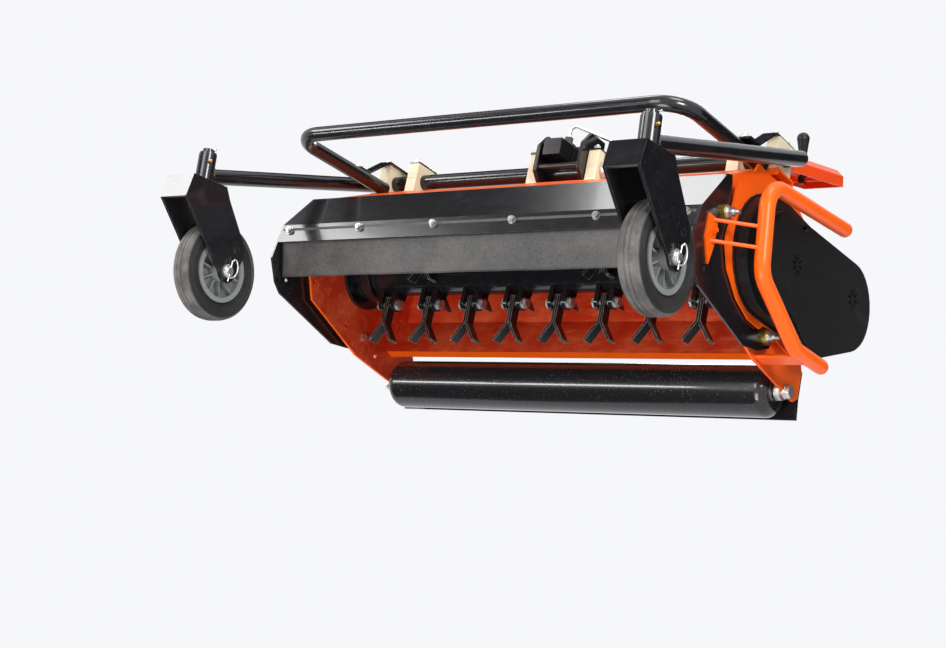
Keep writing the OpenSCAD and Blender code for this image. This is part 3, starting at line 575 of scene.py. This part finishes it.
class MULCHER_OT_finishes(bpy.types.Operator):
    """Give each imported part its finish"""

    bl_idname = "mulcher.finishes"
    bl_label = "Finishes"

    def execute(self, context):
        c = context.scene.mulcher_colours
        orange, red, black = tuple(c.orange), tuple(c.red), tuple(c.black)
        by_slot = {
            "orange_paint": deck_orange("deck_orange", orange),
            # The rim of painted() paints the edges of the enamel and the blades bright: wear and a
            # painted highlight
            "black_paint": painted(
                "black_enamel", black, rough=0.16, dust=c.dust, wear=0.15, rim=0.35, gloss=0.42
            ),
            "zinc": plated("zinc_plate", (0.8, 0.79, 0.77), rough=0.26),
            "yellow_zinc": plated("yellow_zinc", (0.62, 0.44, 0.1), rough=0.3),
            "brass": plated("brass", (0.75, 0.42, 0.1), rough=0.2),
            "blade_steel": painted(
                "blade_black",
                (0.006, 0.006, 0.006),
                rough=0.3,
                dust=0.04,
                wear=0.2,
                rim=1.3,
                rim_width=0.0012,
                gloss=0.3,
            ),
            "dull_steel": plated("turned_steel", (0.55, 0.55, 0.54), rough=0.22),
            "pulley_iron": plated("cast_iron", (0.2, 0.2, 0.2), rough=0.45, metallic=0.8),
            "housing_iron": painted("housing_grey", (0.06, 0.06, 0.065), rough=0.45, dust=0.2),
            "case_plastic": plastic("case_plastic", (0.006, 0.006, 0.007), rough=0.36, scratch=0.06),
            "lever_plastic": plastic("knob_plastic", (0.01, 0.01, 0.01), rough=0.28),
            "nylon": plastic("cream_nylon", (0.82, 0.74, 0.52), rough=0.5),
            "red_cover": painted("cover_red", red, rough=0.3, dust=0.06, gloss=0.22),
            "flap_rubber": rubbery(
                "dusty_flap", (0.012, 0.012, 0.0135), (0.13, 0.12, 0.108), dust=0.5, rough=0.5
            ),
            "belt_rubber": rubbery("belt_rubber", (0.012, 0.012, 0.012), (0.1, 0.1, 0.1), dust=0.2),
            "tyre_rubber": tyre_rubber("tyre_rubber"),
            "rim_plastic": plastic("rim_plastic", (0.23, 0.245, 0.235), rough=0.5),
        }
        by_node = {
            "roller": roller_black("roller_black"),
            "hood_bolts": plated("worn_zinc", (0.5, 0.49, 0.48), rough=0.2),
        }
        for part in frame["record"]["subparts"]:
            node = frame["nodes"][part["node"]]
            chosen = by_node.get(part["node"], by_slot[part["material_slot"]])
            node.data.materials.clear()
            node.data.materials.append(chosen.mat)
        return {"FINISHED"}


class MULCHER_OT_flap(bpy.types.Operator):
    """Hang the dusty rubber flap with its slight wave"""

    bl_idname = "mulcher.flap"
    bl_label = "Rubber flap"

    def execute(self, context):
        wave = context.scene.mulcher_sizes.flap_wave
        low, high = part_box("rubber_flap")
        top = Vector((0, low.y + 0.0004, high.z - 0.0012))
        knee = Vector((0, 0.0055, -0.028))
        hem = Vector((0, 0.0282, -0.0975))
        knee_at = 0.3
        waves_from = 0.25
        thick = 0.0052
        bm = bmesh.new()
        bmesh.ops.create_grid(bm, x_segments=200, y_segments=24, size=0.5)
        for vert in bm.verts:
            u = vert.co.x + 0.5
            t = 0.5 - vert.co.y
            if t < knee_at:
                hang = knee * (t / knee_at)
            else:
                hang = knee.lerp(hem, (t - knee_at) / (1 - knee_at))
            swell = math.sin(u * 21.0) + 0.6 * math.sin(u * 47.0 + 1.3)
            bow = wave * max(0.0, t - waves_from) * swell + wave * 0.6
            vert.co = top + hang + Vector((low.x + (high.x - low.x) * u, bow, 0))
        bmesh.ops.recalc_face_normals(bm, faces=bm.faces)
        if sum(face.normal.y for face in bm.faces) < 0:
            bmesh.ops.reverse_faces(bm, faces=bm.faces)
        bmesh.ops.solidify(bm, geom=bm.faces[:], thickness=-thick)
        made = add_object("flap_sheet", bm, bpy.data.materials["dusty_flap"], "deck")
        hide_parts("rubber_flap")
        return {"FINISHED"}


class MULCHER_OT_beads(bpy.types.Operator):
    """Lay the weld beads where tubes and plates meet"""

    bl_idname = "mulcher.beads"
    bl_label = "Weld beads"

    def execute(self, context):
        bead = context.scene.mulcher_sizes.bead
        black = bpy.data.materials["black_enamel"]

        arm_radius = 0.0158
        tube_radius = 0.0192
        clear_of_tube = 0.0195
        bm = bmesh.new()
        arm = (place(0, *CROSS_TUBE) - place(0, *ARM_FRONT)).normalized()
        for side in (-1, 1):
            tube = place(side * CASTOR_X, *ARM_FRONT)
            ring = []
            for p in circle_points(tube + arm * clear_of_tube, arm, arm_radius, 40):
                off = (p - tube).x
                reach = math.sqrt(max(tube_radius ** 2 - off * off, 0.0))
                ring.append(p + arm * (reach - clear_of_tube) * 0.9)
            bar(bm, ring, bead, closed=True, ripple=BEAD_RIPPLE)
        add_object("weld_frame", bm, black, "castor_frame")

        leg_offset = 31
        crown_edge = ((-562, 246), (-530, 251.4), (-500, 254.6), (-470, 258))
        for side, hand in ((-1, "left"), (1, "right")):
            bm = bmesh.new()
            for leg in (-1, 1):
                x = side * CASTOR_X + leg * leg_offset
                edge = smooth_path([place(x, y, z) for y, z in crown_edge], 6)
                bar(bm, edge, bead * 0.8, ripple=BEAD_RIPPLE)
            add_object(f"weld_fork_{hand}", bm, black, f"{hand}_fork")

        foot_x, foot_y, foot_z = HOOP_FOOT
        leg_slope = (0, 1, 0.04)
        hoop_radius = 0.0148
        bm = bmesh.new()
        for side in (-1, 1):
            ring = circle_points(place(side * foot_x, foot_y, foot_z), leg_slope, hoop_radius, 36)
            bar(bm, ring, bead, closed=True, ripple=BEAD_RIPPLE)
        add_object("weld_hoop", bm, black, "deck")
        return {"FINISHED"}


class MULCHER_OT_clips(bpy.types.Operator):
    """Bend the wire clips of the wheel axles and the cotters of the king pins"""

    bl_idname = "mulcher.clips"
    bl_label = "Wire clips"

    def execute(self, context):
        r = context.scene.mulcher_sizes.wire / 2
        zinc = bpy.data.materials["zinc_plate"]
        clip_x = 46.5
        bends = (
            (0, 21),
            (3, 25),
            (9, 24),
            (15, 16),
            (17, 4),
            (13, -7),
            (5, -13),
            (-6, -13),
            (-13, -6),
            (-14, 2),
        )
        wheel_y, wheel_z = WHEEL_AXIS
        lean = math.radians(KING_LEAN)
        up = Vector((0, -math.sin(lean), math.cos(lean)))
        pin_above_foot = 0.069
        for side, hand in ((-1, "left"), (1, "right")):
            bm = bmesh.new()
            x = side * CASTOR_X + clip_x
            loop = [place(x, wheel_y + y, wheel_z + z) for y, z in bends]
            bar(bm, smooth_path(loop, 8), r)
            top = place(side * CASTOR_X, *KING_FOOT) + up * pin_above_foot
            pin = [
                top + Vector((-0.017, 0, 0)),
                top + Vector((0.010, 0, 0)),
                top + Vector((0.0165, 0.003, 0)),
                top + Vector((0.0175, 0.0, 0.002)),
            ]
            bar(bm, smooth_path(pin, 6), r * 0.8)
            add_object(f"clips_{hand}", bm, zinc, f"{hand}_fork")
        return {"FINISHED"}


# Black cards that only reflections show: name, point aimed at, way to the card, distance, width
FLAGS = (
    ("flag_front", (0.0, -0.8, 0.0), (-0.593, -0.758, 0.272), 5.0, 4.6),
    ("flag_side", (0.6, -0.4, 0.0), (0.593, 0.758, 0.272), 4.0, 3.8),
    ("flag_over", (0.0, -0.7, 0.1), (-0.593, 0.474, 0.651), 4.5, 3.4),
    ("flag_low", (0.0, -0.3, -0.2), (-0.593, -0.5, -0.63), 4.5, 4.2),
)

# Area lamps: name, place, point aimed at, width and height, watts
LAMPS = (
    ("lamp_top", (-0.85, -0.32, 2.45), (0.45, -0.58, 0.03), (0.8, 0.8), 11),
    ("lamp_left", (-2.65, -2.75, 1.45), (-0.5, -0.8, -0.03), (1.0, 1.0), 44),
    ("lamp_streak", (-1.8, -2.7, -0.46), (-1.8, -0.26, -0.2), (1.5, 0.28), 26),
    ("lamp_over", (1.3, -1.6, 2.8), (0, -0.4, 0), (1.2, 1.2), 42),
    ("lamp_front", (-0.6, -4.0, 0.3), (0, -0.4, 0), (1.6, 1.6), 52),
    ("lamp_low", (0.5, -2.6, -2.3), (0, -0.4, -0.1), (1.4, 1.4), 52),
    ("lamp_side", (3.2, -2.7, 0.7), (0.4, -0.3, 0), (1.0, 1.0), 88),
    ("lamp_back", (-1.4, 3.2, 1.8), (0, -0.2, 0), (1.4, 1.4), 34),
)


def square(name, half, material, turn=None):
    """A flat square of the studio, turned and moved in its mesh."""
    bm = bmesh.new()
    bmesh.ops.create_grid(bm, x_segments=1, y_segments=1, size=half)
    if turn:
        bm.transform(turn)
    return link_mesh(name, bm, material)


def lay_floor():
    """The pale floor: it fades into the backdrop far out and is clear from below."""
    half_width = 38
    drop = 0.0004
    f = Finish("floor_pale")
    f.set(Base_Color=(0.8, 0.8, 0.82), Roughness=0.9, Specular_IOR_Level=0.0)
    spread = (f.x ** 2.0 + f.y ** 2.0) ** 0.5
    lit = Val(f.tree, f.shader.outputs[0])
    shown = f.at.node("ShaderNodeEmission", {"Color": BACKDROP, "Strength": 1.0})
    clear = f.at.node("ShaderNodeBsdfTransparent")
    below = f.at.node("ShaderNodeNewGeometry", output="Backfacing")
    far = (spread.step(0.9, 3.2) * seen_directly(f.tree)).blend(lit, shown)
    feed(f.tree, f.tree.nodes["Material Output"].inputs["Surface"], below.blend(far, clear))
    floor = square("floor", half_width, f.mat, Matrix.Translation((0, 0, -COUPLING_Z - drop)))
    floor.visible_shadow = False
    floor.visible_glossy = False


def light_sky(scene):
    """A weak even fill from the world, which is as pale as the backdrop where a ray sees it."""
    world = bpy.data.worlds.new("studio") if scene.world is None else scene.world
    scene.world = world
    world.use_nodes = True
    tree = world.node_tree
    background = tree.nodes["Background"]
    feed(tree, background.inputs["Color"], BACKDROP)
    feed(tree, background.inputs["Strength"], 0.2)
    fill = Val(tree, background.outputs[0])
    shown = fill.node("ShaderNodeBackground", {"Color": BACKDROP, "Strength": 1.0})
    feed(tree, tree.nodes["World Output"].inputs["Surface"], seen_directly(tree).blend(fill, shown))


def hang_flags():
    """The black cards that keep the enamel dark."""
    card = Finish("flag_black")
    card.set(Base_Color=(0.01, 0.01, 0.01), Roughness=1.0, Specular_IOR_Level=0.0)
    for name, aim, way, reach, size in FLAGS:
        facing = Vector(way).to_track_quat("Z", "Y").to_matrix().to_4x4()
        turn = Matrix.Translation(Vector(aim) + Vector(way) * reach) @ facing
        flag = square(name, size / 2, card.mat, turn)
        flag.visible_camera = False
        flag.visible_diffuse = False
        flag.visible_shadow = False


def hang_lamps(scene):
    """The soft lamps, each aimed at a point on the part."""
    for name, at, aim, size, power in LAMPS:
        lamp = bpy.data.lights.new(name, "AREA")
        lamp.shape = "RECTANGLE"
        lamp.size, lamp.size_y = size
        lamp.energy = power
        holder = bpy.data.objects.new(name, lamp)
        holder.location = at
        holder.rotation_euler = (Vector(aim) - Vector(at)).to_track_quat("-Z", "Y").to_euler()
        scene.collection.objects.link(holder)


def set_camera(scene):
    """The camera that the fit to the photo gave, in the row frame."""
    forward = Vector((-0.5930, 0.7578, 0.2723))
    right = Vector((0.8052, 0.5599, 0.1954))
    at = place(2013.4, -2778.3, -866.4)
    cam = bpy.data.cameras.new("camera")
    cam.sensor_width = 36
    cam.lens = 66.79
    cam.clip_end = 90
    holder = bpy.data.objects.new("camera", cam)
    turn = Matrix((right, right.cross(forward), -forward)).transposed().to_4x4()
    holder.matrix_world = Matrix.Translation(at) @ turn
    scene.collection.objects.link(holder)
    scene.camera = holder


class MULCHER_OT_stage(bpy.types.Operator):
    """Set the pale floor, the world, the black cards, the soft lamps and the camera"""

    bl_idname = "mulcher.stage"
    bl_label = "Studio"

    def execute(self, context):
        scene = context.scene
        lay_floor()
        light_sky(scene)
        hang_flags()
        hang_lamps(scene)
        set_camera(scene)
        scene.view_settings.view_transform = "Standard"
        return {"FINISHED"}


class MULCHER_PT_panel(bpy.types.Panel):
    """The looks of the mulcher"""

    bl_label = "Mulcher"
    bl_idname = "MULCHER_PT_panel"
    bl_space_type = "VIEW_3D"
    bl_region_type = "UI"
    bl_category = "Mulcher"

    def draw(self, context):
        for group in (context.scene.mulcher_colours, context.scene.mulcher_sizes):
            for key in group.__annotations__:
                self.layout.prop(group, key)
        for step in STEPS:
            self.layout.operator(step.bl_idname)


STEPS = (
    MULCHER_OT_finishes,
    MULCHER_OT_flap,
    MULCHER_OT_beads,
    MULCHER_OT_clips,
    MULCHER_OT_stage,
)
CLASSES = (MulcherColours, MulcherSizes, *STEPS, MULCHER_PT_panel)


def register():
    for cls in CLASSES:
        bpy.utils.register_class(cls)
    bpy.types.Scene.mulcher_colours = bpy.props.PointerProperty(type=MulcherColours)
    bpy.types.Scene.mulcher_sizes = bpy.props.PointerProperty(type=MulcherSizes)


def unregister():
    del bpy.types.Scene.mulcher_sizes
    del bpy.types.Scene.mulcher_colours
    for cls in reversed(CLASSES):
        bpy.utils.unregister_class(cls)


def main():
    register()
    for step in STEPS:
        area, name = step.bl_idname.split(".")
        getattr(getattr(bpy.ops, area), name)()


if __name__ == "__main__":
    main()
